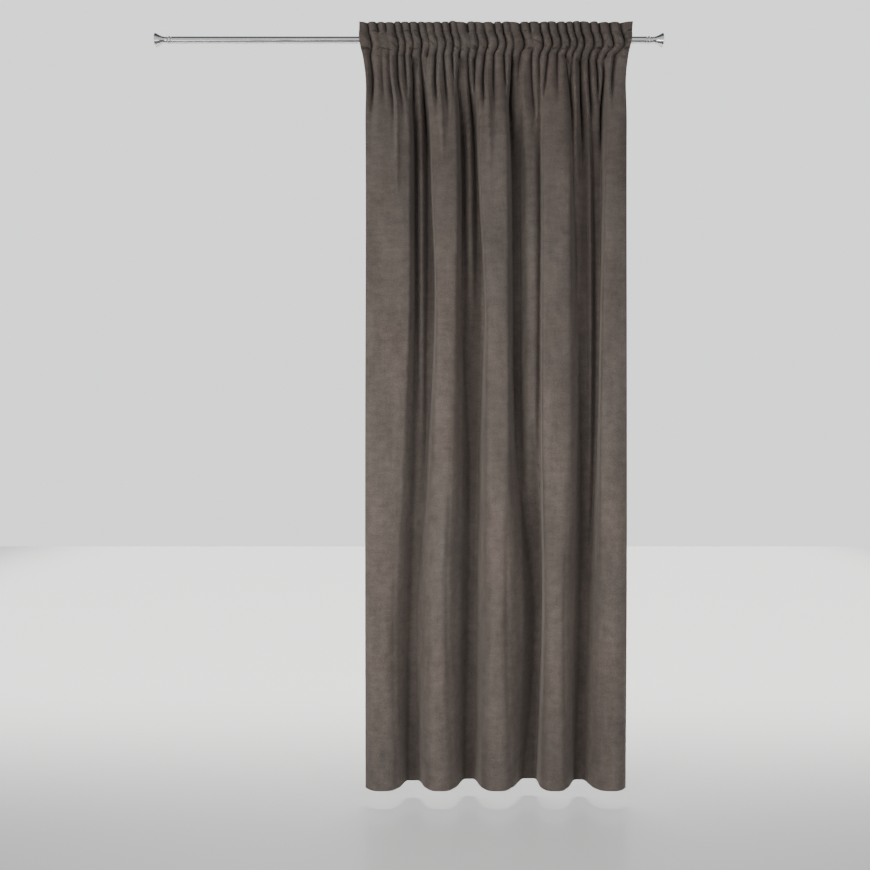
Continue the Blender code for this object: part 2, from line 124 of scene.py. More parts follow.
# The grooves between the heading's pleats, from left to right. The first five columns say where a
# groove runs, in millimetres from the middle: in the frill, then at the four levels below. The
# next six are its share of the gathers' depth in the frill, on the rod and at those levels, and
# reaches is the drop, in millimetres, by which it has faded.
GATHER_LEVELS = np.array([56, 132, 214, 362]) / 1000.0  # neck, upper, shoulder and lower
GATHERS = table(
    "at neck upper shoulder lower frill pocket at_neck at_upper at_shoulder at_lower reaches",
    (-416, -411, -403, -406, -406, 0.8, 0.9, 0.9, 0.9, 0.45, 0, 400),
    (-386, -372, -372, -363, -360, 1, 0.1, 0.3, 0.35, 0.15, 0, 340),
    (-360, -349, -344, -334, -329, 0.6, 0.1, 0.45, 0.55, 0.45, 0.1, 470),
    (-329, -322, -321, -306, -298, 1, 0.6, 0.8, 0.6, 0.4, 0, 380),
    (-307, -299, -294, -288, -284, 1, 0.5, 0.8, 0.5, 0.05, 0, 330),
    (-281, -278, -271, -275, -273, 1, 0.5, 0.9, 0.7, 0.7, 0.6, 520),
    (-253, -246, -240, -234, -228, 1, 1, 0.7, 0.9, 1.2, 1, 580),
    (-229, -224, -229, -227, -222, 0.5, 0.3, 0.7, 0.15, 0, 0, 270),
    (-202, -197, -197, -194, -192, 0.55, 0.35, 1, 1, 0.3, 0, 340),
    (-174, -172, -166, -158, -153, 1, 0.75, 0.75, 0.8, 0.4, 0, 400),
    (-151, -142, -137, -133, -130, 1.15, 0.95, 0.9, 0.35, 0, 0, 270),
    (-127, -120, -125, -122, -121, 0.35, 0.4, 1, 1, 0.8, 0.8, 520),
    (-92, -91, -87, -79, -72, 1.2, 0.15, 0.75, 0.8, 1.1, 1.1, 580),
    (-68, -65, -68, -71, -68, 0.55, 0.55, 0.8, 0.4, 0, 0, 270),
    (-38, -36, -40, -40, -38, 0.5, 0.9, 0.9, 0.95, 0.35, 0, 340),
    (-3, -7, -8, -5, -2, 1.15, 0.95, 0.75, 0.7, 0.3, 0, 360),
    (21, 28, 33, 35, 38, 1.05, 0.85, 0.9, 0.6, 0.1, 0, 300),
    (47, 53, 49, 44, 47, 0.35, 0.4, 1.1, 1.1, 1.2, 1.1, 580),
    (82, 79, 74, 74, 74, 1.15, 1, 0.6, 0.2, 0, 0, 250),
    (110, 118, 120, 126, 136, 0.85, 0.15, 0.9, 0.65, 0.6, 0.5, 520),
    (146, 144, 146, 149, 149, 1, 1, 0.9, 0.5, 0.4, 0.1, 400),
    (172, 170, 162, 155, 146, 0.9, 0.9, 0.7, 0.6, 0.35, 0.3, 580),
    (202, 201, 202, 205, 205, 0.9, 0.9, 0.75, 0.45, 0.05, 0, 330),
    (231, 229, 240, 245, 245, 1, 0.9, 0.9, 0.6, 0.5, 0.5, 520),
    (254, 252, 248, 252, 254, 1, 0.9, 0.7, 0.75, 0.8, 0.5, 580),
    (277, 281, 281, 283, 287, 1, 0.9, 1.1, 1.1, 1.15, 0.95, 580),
    (310, 307, 308, 312, 309, 0.9, 0.8, 1.1, 0.9, 0.7, 0.3, 470),
    (338, 333, 338, 341, 343, 0.9, 0.7, 0.7, 0.8, 0.2, 0, 300),
    (373, 360, 356, 349, 350, 0.8, 0.8, 0.9, 1.1, 1.3, 1.2, 580),
    (409, 388, 381, 381, 383, 0.8, 0.7, 0.8, 0.7, 0.25, 0, 340),
)

# How far the pleats lean to the right at each height of the heading.
LEANS = table(
    "height shift",
    (FRILL_TOP, -0.0035),
    (0.034, 0.0),
    (0.014, 0.0028),
    (-0.006, 0.0082),
    (-0.022, 0.0115),
)

# The cloth's two side edges at each height.
SIDES = table(
    "height left right",
    (FRILL_TOP, -0.446, 0.446),
    (-0.018, -0.445, 0.440),
    (NECK, -0.436, 0.433),
    (-0.110, -0.428, 0.427),
    (-0.280, -0.426, 0.426),
    (-1.300, -0.426, 0.425),
    (HEM, -0.426, 0.424),
)

# ---- long folds of the body

# Five broad folds, A to E from left to right, stand forward of four recesses. A row gives the
# folds' facing edges at one drop below the rod, in millimetres from the middle.
FOLD_SIDES = "drop a_right b_left b_right c_left c_right d_left d_right e_left"
EDGES = table(
    FOLD_SIDES,
    (60, -280, -226, -122, -60, 48, 145, 228, 364),
    (210, -279, -215, -124, -58, 41, 151, 239, 360),
    (520, -280, -205, -125, -49, 39, 152, 241, 354),
    (840, -281, -194, -130, -33, 38, 150, 238, 345),
    (1330, -305, -203, -147, -30, 40, 149, 238, 338),
    (1890, -333, -223, -161, -28, 33, 160, 221, 343),
    (2450, -320, -227, -137, -43, 48, 149, 231, 322),
)

# The same edges' walls: how wide, in millimetres, each turns from its fold into the recess.
WALLS = table(
    FOLD_SIDES,
    (60, 9, 9, 9, 9, 9, 9, 9, 11),
    (210, 9, 8, 8, 8, 8, 9, 11, 8),
    (520, 9, 8, 9, 8, 9, 8, 13, 8),
    (840, 13, 8, 13, 8, 11, 8, 22, 8),
    (1330, 41, 22, 60, 28, 16, 9, 37, 11),
    (1890, 57, 43, 74, 41, 86, 26, 64, 43),
    (2450, 30, 28, 36, 28, 38, 24, 34, 30),
)

# How far, in millimetres, each recess leans to the right behind the fold beside it.
BEHIND = table(
    "drop ab bc cd de",
    (60, 0, 0, 0, 0),
    (520, 4, 6, 9, 11),
    (1330, 0, 4, 15, 17),
    (1890, 0, 4, 22, 7),
    (2450, 0, 2, 11, 4),
)

# Each recess's depth, in thousandths of the folds' whole depth.
DEPTHS = table(
    "drop ab bc cd de",
    (60, 1000, 1000, 1000, 1000),
    (840, 900, 1000, 1000, 1000),
    (1330, 680, 1000, 1000, 950),
    (1890, 680, 1000, 1100, 950),
    (2450, 830, 1000, 1050, 920),
)

# Low ridges that run down inside the recesses and fade into them. recess: 0 to 3 from the left;
# upper and lower: the ridge's place at the shoulder and where it fades; height: its share of the
# recess's depth; fades_from and fades_to: drops in millimetres.
RIDGES = table(
    "recess upper lower half_width height fades_from fades_to",
    (0, -246, -243, 16, 0.42, 500, 1700),
    (1, -87, -85, 18, 0.42, 500, 1050),
    (2, 114, 116, 44, 0.70, 1050, 1680),
    (3, 258, 262, 14, 0.70, 300, 700),
    (3, 305, 303, 12, 0.34, 500, 2000),
)

# Narrow raised creases on the folds' fronts, where a gather's pleat runs on down. In millimetres:
# their places at the four levels of the gathers, then four drops and a height.
CRESTS = table(
    "neck upper shoulder lower starts full fades ends height",
    (-344, -339, -327, -322, 40, 110, 380, 540, 9.0),
    (-188, -190, -180, -174, 50, 120, 300, 420, 8.0),
    (-30, -33, -25, -20, 50, 120, 330, 440, 9.0),
    (91, 89, 89, 90, 60, 120, 300, 420, 6.0),
)
CREST_WIDTH = 0.0066

# How much the folds' fronts swell, as a share of their depth in thousandths.
CROWNS = table("drop swell", (60, 60), (840, 60), (1330, 80), (1890, 140), (2450, 260))
CROWN_POWER = 3.5  # how flat the middle of a front is
RIDGE_POWER = 1.6  # how broad the ridges' tops are
SIDE_SET_BACK = 0.05  # how far the cloth's side edges turn back, as a share of the depth
SIDE_TURN = 0.042  # width over which they do
FULL_LEAN_DEPTH = 0.050  # depth at which the recesses lean all the way behind their folds
FOLD_SOFTENING = 0.003  # how far corners are rounded across the cloth
GATHER_SOFTENING = 0.002

# Puffs of the pleats where they pass over the rod. Each runs down from left to right across its
# pleat, with a dent below it.
PUFF_HEIGHT = -0.009
PUFF_SLANT = 0.016
PUFF_WIDTH = 0.0042
PUFF_FORWARD = 0.0058
DENT_BELOW = 0.0125
DENT_SHARE = 0.8  # the dent's depth as a share of its puff
PUFF_DRIFT = 0.012  # how far up or down the puffs stray from their height
PUFF_VIGOUR = 1.2  # how unevenly they stand out
UPPER_PINCH = 0.0024  # how far the cloth is drawn in along each of its rows of stitches
LOWER_PINCH = 0.0003
STITCH_REACH = 0.0028
CRUMPLE = 0.0024  # small uneven dents all over the heading
CRUMPLE_ACROSS = 95.0  # dents over the cloth's width
CRUMPLE_DOWN = 110.0  # and in a metre of its height
CRUMPLE_SLANT = 40.0  # how much those shift down from one side edge to the other
CRUMPLE_ENDS = 0.008  # height over which they end above the upper stitches
RELIEF_FADE = 0.06  # height over which the whole relief sets in above the shoulder

# Where in the noise each unevenness is taken, and how far apart for neighbouring pleats.
FRILL_SEED = (14.6, 11.0)
DRIFT_SEED = (0.5, 0.5)
DRIFT_STEP = 3.7
VIGOUR_SEED = (4.5, 1.5)
VIGOUR_STEP = 2.9
CRUMPLE_SEED = 3.5

# Painted shade in a hollow: the pile's colour is darkened where the cloth lies deep, as shade would
# darken it.
# How far to either side its depth is measured, the depth at which it is fully dark, and how dark.
PaintedShade = namedtuple("PaintedShade", "reach full dark")
GATHER_PAINTED_SHADE = PaintedShade(0.012, 0.012, 0.90)
FOLD_PAINTED_SHADE = PaintedShade(0.075, 0.085, 0.52)

HEADING_PITCH = 0.0036  # length of a stitch in the heading
HEM_PITCH = 0.0060  # and in the hems
SEAM_INSET = 0.004  # from the cloth's side edges to the ends of the seams across it
HEM_SEAM = 0.004  # from the bottom hem's top to its stitches, and from the cloth's lower edge
SIDE_SEAM = 0.003  # from the side hems' inner edges to their stitches
THREAD_RADIUS = 0.00027
THREAD_LIFT = 0.8  # of a thread's middle above the cloth, and its dip between stitches, in radii
THREAD_DIP = 2.0
DIP_POWER = 4
THREAD_SIDES = 5
STITCH_PHASES = (0.0, 0.13, 0.3, 0.7, 0.87)  # where along each stitch the thread has points

# ---- finials

# A finial's outline from its spigot in the rod outwards: a collar of rings and grooves, then a
# trumpet that flares to its rim. along: from the rod's end; both in metres.
FINIAL = table(
    "along radius",
    (-0.0200, 0.0085), (0.0003, 0.0085), (0.0003, 0.0112), (0.0036, 0.0112),
    (0.0040, 0.0080), (0.0072, 0.0080), (0.0078, 0.0112), (0.0095, 0.0122),
    (0.0122, 0.0122), (0.0139, 0.0112), (0.0144, 0.0080), (0.0172, 0.0080),
    (0.0177, 0.0110), (0.0206, 0.0110), (0.0212, 0.0094), (0.0270, 0.0101),
    (0.0330, 0.0115), (0.0390, 0.0135), (0.0450, 0.0161), (0.0510, 0.0193),
    (0.0553, 0.0219), (0.0566, 0.0220), (0.0574, 0.0214), (0.0576, 0.0205),
)
FINIAL_SIDES = 72
DISH_RIM = 0.0024  # the rim round the trumpet's slightly hollow end
DISH_DEPTH = 0.0022
DISH_TAPER = 0.86
RING_BEVEL = 0.0003
BEVEL_ANGLE = 25.0
SMOOTH_ANGLE = 32.0

# ---- stage

FLOOR_SIZE = 14.0
FLOOR_GAP = 0.055  # below the hem
FLOOR_HEIGHT = round(HEM - FLOOR_GAP, 3)
FLOOR_GLOW = 0.45  # strength of the glow with which the floor is seen, which lights nothing
GLOSSY_STRENGTH = 1.0  # of the surroundings as the steel and the floor mirror them
BACKDROP_STRENGTH = 1.7  # of the backdrop as it is seen
LIGHT_COLOUR = (1.0, 0.97, 0.93)
CAMERA_PLACE = (-0.199, -3.05, -1.298)
FOCAL_LENGTH = 38.4
SENSOR_WIDTH = 36.0

# The lights: each panel's width and height, where it stands and points to, and how wide it
# spreads, in degrees.
LAMPS = table(
    "name size place target spread",
    ("key", (1.4, 1.2), (-1.45, -2.4, -1.50), (0.0, 0.0, -1.50), 92.0),
    ("fill", (1.4, 1.2), (1.5, -2.3, -1.50), (0.0, 0.0, -1.50), 92.0),
    ("heading", (0.5, 0.5), (-2.3, -1.0, 0.1), (0.0, 0.0, -0.15), 40.0),
    ("overhead", (9.0, 9.3), (0.0, 5.1, 2.0), (0.0, 5.1, -2.5), 30.0),
)

# ---- rows of the cloth

# The path of each ply's pleats, seen from the side: how far towards the room their middle stands at
# each height. The front ply rounds the rod; the back ply goes over it and comes up from behind.
FRONT_PATH = table(
    "height stand",
    (-0.200, 0.0), (-0.100, 0.003), (NECK, 0.0070), (LOWER_STITCHES, 0.0115),
    (-0.0210, 0.0175), (-0.0120, 0.0210), (-0.0030, 0.0220), (0.0050, 0.0212),
    (0.0120, 0.0180), (UPPER_STITCHES, 0.0150), (0.0300, 0.0152), (FRILL_TOP, 0.0175),
)
BACK_PATH = table(
    "height stand",
    (TURNING_END, 0.0100), (LOWER_STITCHES, 0.0115), (-0.0260, -0.0010), (-0.0180, -0.0140),
    (-0.0080, -0.0210), (0.0, -0.0225), (0.0080, -0.0200), (0.0130, -0.0155),
    (0.0160, -0.0080), (0.0166, 0.0010), (0.0172, 0.0100), (0.0195, 0.0142),
    (0.0300, 0.0152), (FRILL_TOP, 0.0175),
)

# Spacing of the rows of points up the cloth, from each height on.
BODY_SPACING = table(
    "start step",
    (HEM, 0.060),
    (-1.20, 0.048),
    (-0.60, 0.030),
    (-0.25, 0.013),
    (-0.12, 0.0064),
)
FRONT_STEP = 0.0027  # between the rows of the heading's front
BACK_STEP = 0.0066  # and of its back
TURN_ROWS = 4  # over the frill's top edge

# One row of points across the cloth. ply: -1 in front of the rod, 1 behind it, 0 single.
Row = namedtuple("Row", "height ply stand")


def unit(vectors):
    """Vectors of length 1 that point the same way."""
    return vectors / np.linalg.norm(vectors, axis=-1, keepdims=True)


def running(steps):
    """0 and the running sums of some steps."""
    return np.concatenate(([0.0], np.cumsum(steps)))


def evenly(start, end, step):
    """Heights from start up to but not including end."""
    count = max(1, round((end - start) / step))
    return [start + (end - start) * i / count for i in range(count)]


def stand_at(height):
    """How far towards the room the front of the cloth stands at this height."""
    heights, stands = np.array(FRONT_PATH).T
    return float(along(height, heights, stands))


def back_path():
    """Evenly spaced places of the back ply from the frill's top down, as height and stand."""
    path = np.array(BACK_PATH)[::-1]
    lengths = running(np.linalg.norm(np.diff(path, axis=0), axis=1))
    count = round(lengths[-1] / BACK_STEP)
    return [along(lengths[-1] * i / count, lengths, path) for i in range(1, count + 1)]


def cloth_rows():
    """The rows from the hem up the front, over the frill and down behind the rod."""
    levels = [spacing.start for spacing in BODY_SPACING] + [NECK]
    body = []
    for spacing, end in zip(BODY_SPACING, levels[1:]):
        body += evenly(spacing.start, end, spacing.step)
    step = HEM + HEM_DEPTH - STEP_BELOW
    body = sorted(body + [step, step + HEM_STEP, HEM + LOWEST_ROW])
    rows = [Row(height, 0.0, stand_at(height)) for height in body]
    for height in evenly(NECK, LOWER_STITCHES, FRONT_STEP):
        ply = -ease((height - NECK) / (LOWER_STITCHES - NECK))
        rows.append(Row(height, ply, stand_at(height)))
    turn_start = FRILL_TOP - PLY_OFFSET
    for height in evenly(LOWER_STITCHES, turn_start, FRONT_STEP):
        rows.append(Row(height, -1.0, stand_at(height)))
    for i in range(TURN_ROWS + 1):
        angle = math.pi * i / TURN_ROWS
        height = turn_start + PLY_OFFSET * math.sin(angle)
        rows.append(Row(height, -math.cos(angle), stand_at(turn_start)))
    return rows + [Row(height, 1.0, stand) for height, stand in back_path()]


# ---- shape of the gathered cloth


def ease(share):
    """0 to 1 with level ends."""
    share = np.clip(share, 0.0, 1.0)
    return share * share * (3.0 - 2.0 * share)


def along(place, places, values):
    """A smooth curve through a table's values; places rise."""
    places = np.asarray(places, float)
    values = np.asarray(values, float)
    slopes = np.gradient(values, places, axis=0)
    place = float(np.clip(place, places[0], places[-1]))
    i = int(np.clip(np.searchsorted(places, place) - 1, 0, len(places) - 2))
    step = places[i + 1] - places[i]
    t = (place - places[i]) / step
    return (
        (1 + 2 * t) * (1 - t) ** 2 * values[i]
        + t * (1 - t) ** 2 * step * slopes[i]
        + t * t * (3 - 2 * t) * values[i + 1]
        - t * t * (1 - t) * step * slopes[i + 1]
    )


def table_at(drops, drop):
    """All columns, in metres, of a table in millimetres whose first column is the drop."""
    rows = np.array(drops, float) / 1000.0
    return along(drop, rows[:, 0], rows[:, 1:])


def side_edges(height):
    rows = np.array(SIDES)[::-1]
    return along(height, rows[:, 0], rows[:, 1:])


def below_neck(height, full_drop):
    """0 down to the neck and 1 from this drop on."""
    return ease((-height - NECK_DROP) / (full_drop - NECK_DROP))


def gather_columns(*names):
    return np.array([[getattr(gather, name) for gather in GATHERS] for name in names], float)


def gather_places(height):
    """Where each groove runs at this height."""
    below = gather_columns("neck", "upper", "shoulder", "lower") / 1000.0
    if height <= NECK:
        return along(-height, GATHER_LEVELS, below)
    rows = np.array(LEANS)[::-1]
    leaning = gather_columns("at")[0] / 1000.0 + along(height, rows[:, 0], rows[:, 1])
    lowest_lean = rows[0, 0]
    share = ease((lowest_lean - height) / (lowest_lean - NECK))
    return leaning + (below[0] - leaning) * share


def gather_shares(height):
    """Each groove's share of the gathers' depth at this height."""
    frill, pocket = gather_columns("frill", "pocket")
    below = gather_columns("at_neck", "at_upper", "at_shoulder", "at_lower")
    if height >= NECK:
        on_rod = ease((FRILL_WAIST - height) / FRILL_WAIST)
        heading = frill + (pocket - frill) * on_rod
        return heading + (below[0] - heading) * ease((NECK + POCKET_FADE - height) / POCKET_FADE)
    reaches = gather_columns("reaches")[0] / 1000.0
    upper = GATHER_LEVELS[1]
    fading = ease((-height - upper) / (reaches - upper))
    return np.clip(along(-height, GATHER_LEVELS, below), 0.0, None) * (1.0 - fading)


def gathers(x, height):
    """1 on the pleats' crests, less in the grooves between them."""
    places = gather_places(height)
    shares = gather_shares(height)
    left, right = side_edges(height)
    gaps = np.diff(places, prepend=2 * left - places[0], append=2 * right - places[-1])
    faded = np.concatenate(([0.0], 1.0 - shares, [0.0]))
    forward = np.ones_like(x)
    freed = FREED_OPENING * ease((NECK + OPENING_STARTS - height) / OPENING_FADE)
    for i, (place, share) in enumerate(zip(places, shares)):
        before = gaps[i] + SPREAD * faded[i] * gaps[max(i - 1, 0)]
        after = gaps[i + 1] + SPREAD * faded[i + 2] * gaps[min(i + 2, len(gaps) - 1)]
        half_pleat = np.where(x < place, before, after) / 2.0
        away = np.sqrt(((x - place) / half_pleat) ** 2 + CREASE_ROUNDING**2) - CREASE_ROUNDING
        near = np.clip(1.0 - away, 0.0, 1.0)
        opened = 1.0 - min(share, 1.0)
        reach = TIGHT_REACH + (OPEN_REACH - TIGHT_REACH) * max(opened, freed)
        power = TIGHT_POWER + opened
        groove = TIGHT_SHARE * np.clip(1.0 - away / reach, 0.0, 1.0) ** power
        groove = groove + (1.0 - TIGHT_SHARE) * near**ROUND_POWER
        forward -= share * groove
    return forward


def long_folds(x, drop):
    """Two curves: how far forward the body stands, 0 in a recess and 1 on a fold, and how far to
    the right it leans there."""
    edges = table_at(EDGES, drop)
    walls = table_at(WALLS, drop)
    behind = table_at(BEHIND, drop)
    depths = table_at(DEPTHS, drop)
    left, right = side_edges(-drop)
    forward = np.ones_like(x)
    lean = np.zeros_like(x)
    for recess in range(4):
        opens, closes = edges[2 * recess : 2 * recess + 2]
        wall_in, wall_out = walls[2 * recess : 2 * recess + 2]
        depth = depths[recess] * ease((x - opens) / wall_in) * ease((closes - x) / wall_out)
        for ridge in RIDGES:
            if ridge.recess != recess:
                continue
            start, low = ridge.fades_from / 1000.0, ridge.fades_to / 1000.0
            share = (drop - SHOULDER_DROP) / (low - SHOULDER_DROP)
            place = (ridge.upper + (ridge.lower - ridge.upper) * share) / 1000.0
            fading = ease((drop - start) / (low - start))
            away = np.abs(x - place) / (ridge.half_width / 1000.0)
            crest = 1.0 - ease(away**RIDGE_POWER)
            depth = depth * (1.0 - ridge.height * (1.0 - fading) * crest)
        forward = forward - depth
        lean = lean + behind[recess] * depth
    starts = np.concatenate(([left], edges[1::2]))
    ends = np.concatenate((edges[0::2], [right]))
    middles = (starts + ends) / 2.0
    across = np.abs(x[:, None] - middles) / (ends - middles)
    crown = table_at(CROWNS, drop)[0] * np.clip(across.min(axis=1), 0.0, 1.0) ** CROWN_POWER
    nearest_side = np.minimum(x - left, right - x)
    set_back = SIDE_SET_BACK * (1.0 - ease(nearest_side / SIDE_TURN))
    return forward * (1.0 - crown) - set_back, lean


def crests(x, drop):
    """How far the narrow raised creases stand out."""
    raised = np.zeros_like(x)
    for crest in CRESTS:
        sizes = np.array(crest) / 1000.0
        place = along(drop, GATHER_LEVELS, sizes[:4])
        starts, full, fades, ends, height = sizes[4:]
        share = ease((drop - starts) / (full - starts))
        share *= 1.0 - ease((drop - fades) / (ends - fades))
        raised += height * share * np.exp(-(((x - place) / CREST_WIDTH) ** 2))
    return raised


def soften(values, spacing, reach):
    """Rounds a curve's corners over the given reach."""
    if reach < spacing:
        return values
    span = int(3 * reach / spacing)
    bell = np.exp(-0.5 * (np.arange(-span, span + 1) * spacing / reach) ** 2)
    padded = np.pad(values, span, mode="reflect", reflect_type="odd")
    return np.convolve(padded, bell / bell.sum(), mode="valid")


def arc_lengths(x, y):
    return running(np.hypot(np.diff(x), np.diff(y)))


def solve(length_of, low, high, target):
    """The number from low to high for which length_of it is the target."""
    for _ in range(SOLVER_STEPS):
        middle = (low + high) / 2.0
        if length_of(middle) < target:
            low = middle
        else:
            high = middle
    return (low + high) / 2.0


def section(height):
    """The cloth's curve across its width at one height, as x and y, always as long as the cloth
    is wide: where the gathers fade, the long folds take up their cloth."""
    left, right = side_edges(height)
    x = np.linspace(left, right, FINE_POINTS)
    spacing = x[1] - x[0]
    freed = below_neck(height, SHOULDER_DROP)
    pleats = soften(gathers(x, height), spacing, GATHER_SOFTENING * freed)
    pleat_depth = solve(
        lambda depth: arc_lengths(x, depth * pleats)[-1], 0.0, DEEPEST_PLEAT, CLOTH_WIDTH
    )
    if height >= NECK:
        return x, pleat_depth * (0.5 - pleats)
    drop = -height
    pleat_depth *= 1.0 - below_neck(height, GATHERS_FADE)
    folds, lean = (soften(curve, spacing, FOLD_SOFTENING) for curve in long_folds(x, drop))
    raised = crests(x, drop)

    def curve(depth):
        leaning = x + lean * min(1.0, depth / FULL_LEAN_DEPTH)
        return leaning, -pleat_depth * pleats - depth * folds - raised

    depth = solve(lambda trial: arc_lengths(*curve(trial))[-1], 0.0, DEEPEST_FOLD, CLOTH_WIDTH)
    x, y = curve(depth)
    lengths = arc_lengths(x, y)
    mean = np.sum((y[1:] + y[:-1]) / 2.0 * np.diff(lengths)) / lengths[-1]
    return x, y - mean + BODY_PLANE * freed


def groove_shares(height):
    """How far along the section each groove lies, with the cloth's two ends."""
    x, y = section(height)
    lengths = arc_lengths(x, y)
    grooves = np.interp(gather_places(height), x, lengths) / lengths[-1]
    return np.concatenate(([0.0], grooves, [1.0]))


def spread_columns(ends):
    """The columns of points, evenly spaced between one groove and the next."""
    columns = np.arange(POINTS_PER_PLEAT * (len(ends) - 1) + 1) / POINTS_PER_PLEAT
    return np.interp(columns, np.arange(len(ends)), ends)


def column_shares(height, threads):
    """How far along the section each column of points lies. In the heading they are spaced from
    groove to groove; lower down the columns keep their own threads."""
    freed = below_neck(height, THREADS_DROP)
    if freed >= 1.0:
        return threads
    return threads * freed + spread_columns(groove_shares(height)) * (1.0 - freed)


def row_points(row, threads):
    """The middle of the cloth along one row, as points, and the painted shade of each point."""
    x, y = section(row.height)
    lengths = arc_lengths(x, y)
    places = column_shares(row.height, threads) * lengths[-1]
    fine_x, fine_y = x, y
    x = np.interp(places, lengths, x)
    y = np.interp(places, lengths, y)
    across = np.stack([x, y], axis=1)
    along_row = unit(np.gradient(across, axis=0))
    backward = np.stack([-along_row[:, 1], along_row[:, 0]], axis=1)
    across = across + backward * row.ply * PLY_OFFSET
    across[:, 1] -= row.stand
    opened = below_neck(row.height, THREADS_DROP)
    # painted shade: darker in the gathers' grooves above the neck and in the long folds' recesses
    painted_shade = painted_shade_in_hollows(fine_x, fine_y, GATHER_PAINTED_SHADE) * (1.0 - opened)
    painted_shade = np.interp(places, lengths, painted_shade + painted_shade_in_hollows(fine_x, fine_y, FOLD_PAINTED_SHADE))
    frill = ease((row.height - UPPER_STITCHES) / (FRILL_TOP - UPPER_STITCHES))
    heights = np.full(len(x), row.height)
    if row.height > SHOULDER_HEIGHT:
        across[:, 1] += (1.0 if row.ply > 0 else -1.0) * heading_relief(row, threads)
        heights += FRILL_UNEVEN * frill * waves(threads * FRILL_WAVES, FRILL_SEED)
        heights += FRILL_LIFT * frill * (across[:, 1] - across[:, 1].min())
    return np.column_stack([across, heights]), painted_shade


def painted_shade_in_hollows(x, y, hollow):
    """Painted shade along a section: how dark the pile is painted in hollows of one kind, by their
    depth.
    """
    spacing = (x[-1] - x[0]) / (len(x) - 1)
    reach = int(hollow.reach / spacing)
    padded = np.pad(-y, reach, mode="edge")
    windows = np.lib.stride_tricks.sliding_window_view(padded, 2 * reach + 1)
    left = windows[:, : reach + 1].max(axis=1) + y
    right = windows[:, reach:].max(axis=1) + y
    return hollow.dark * ease(np.minimum(left, right) / hollow.full)


def waves(places, seed):
    """Smooth uneven values to either side of 0, at places along a line."""
    return np.array([noise.noise((place, *seed)) for place in places])


def heading_relief(row, threads):
    """How far the cloth of the heading stands out from its plain pleats at each column."""
    height = row.height
    columns = np.arange(len(threads)) / POINTS_PER_PLEAT
    pleat = np.floor(columns)
    t = columns - pleat
    drift = waves(pleat * DRIFT_STEP, DRIFT_SEED)
    vigour = waves(pleat * VIGOUR_STEP, VIGOUR_SEED)
    crest = np.sin(np.pi * t) ** 2
    across = (height - PUFF_HEIGHT - PUFF_DRIFT * drift) + PUFF_SLANT * (t - 0.5)
    puff = np.exp(-((across / PUFF_WIDTH) ** 2))
    dent = np.exp(-(((across + DENT_BELOW) / PUFF_WIDTH) ** 2))
    relief = crest * (1.0 + PUFF_VIGOUR * vigour) * PUFF_FORWARD * (puff - DENT_SHARE * dent)
    for stitches, pinch in ((UPPER_STITCHES, UPPER_PINCH), (LOWER_STITCHES, LOWER_PINCH)):
        relief = relief - pinch * crest * np.exp(-(((height - stitches) / STITCH_REACH) ** 2))
    down = height * CRUMPLE_DOWN + threads * CRUMPLE_SLANT
    places = zip(threads * CRUMPLE_ACROSS, down)
    small = [noise.noise((*place, CRUMPLE_SEED)) for place in places]
    small = CRUMPLE * np.array(small) * (1.0 - ease((height - UPPER_STITCHES) / CRUMPLE_ENDS))
    return (relief + small) * ease((height - SHOULDER_HEIGHT) / RELIEF_FADE)


def surface_normals(points):
    """Unit normals of a grid of points, on the side that faces the room where the cloth hangs."""
    return unit(np.cross(np.gradient(points, axis=1), np.gradient(points, axis=0)))


# ---- meshes and materials


def grid_faces(index):
    """The four-sided faces between neighbouring points of a grid of point numbers."""
    quads = np.stack([index[:-1, :-1], index[:-1, 1:], index[1:, 1:], index[1:, :-1]], axis=2)
    return [tuple(map(int, quad)) for quad in quads.reshape(-1, 4)]


def mesh_object(name, points, faces, material):
    mesh = bpy.data.meshes.new(name)
    mesh.from_pydata([tuple(point) for point in points], [], faces)
    mesh.materials.append(material)
    created = bpy.data.objects.new(name, mesh)
    bpy.context.scene.collection.objects.link(created)
    return created


NOISE_LOW, NOISE_HIGH = 0.3, 0.7  # nearly all the values of a noise lie between them


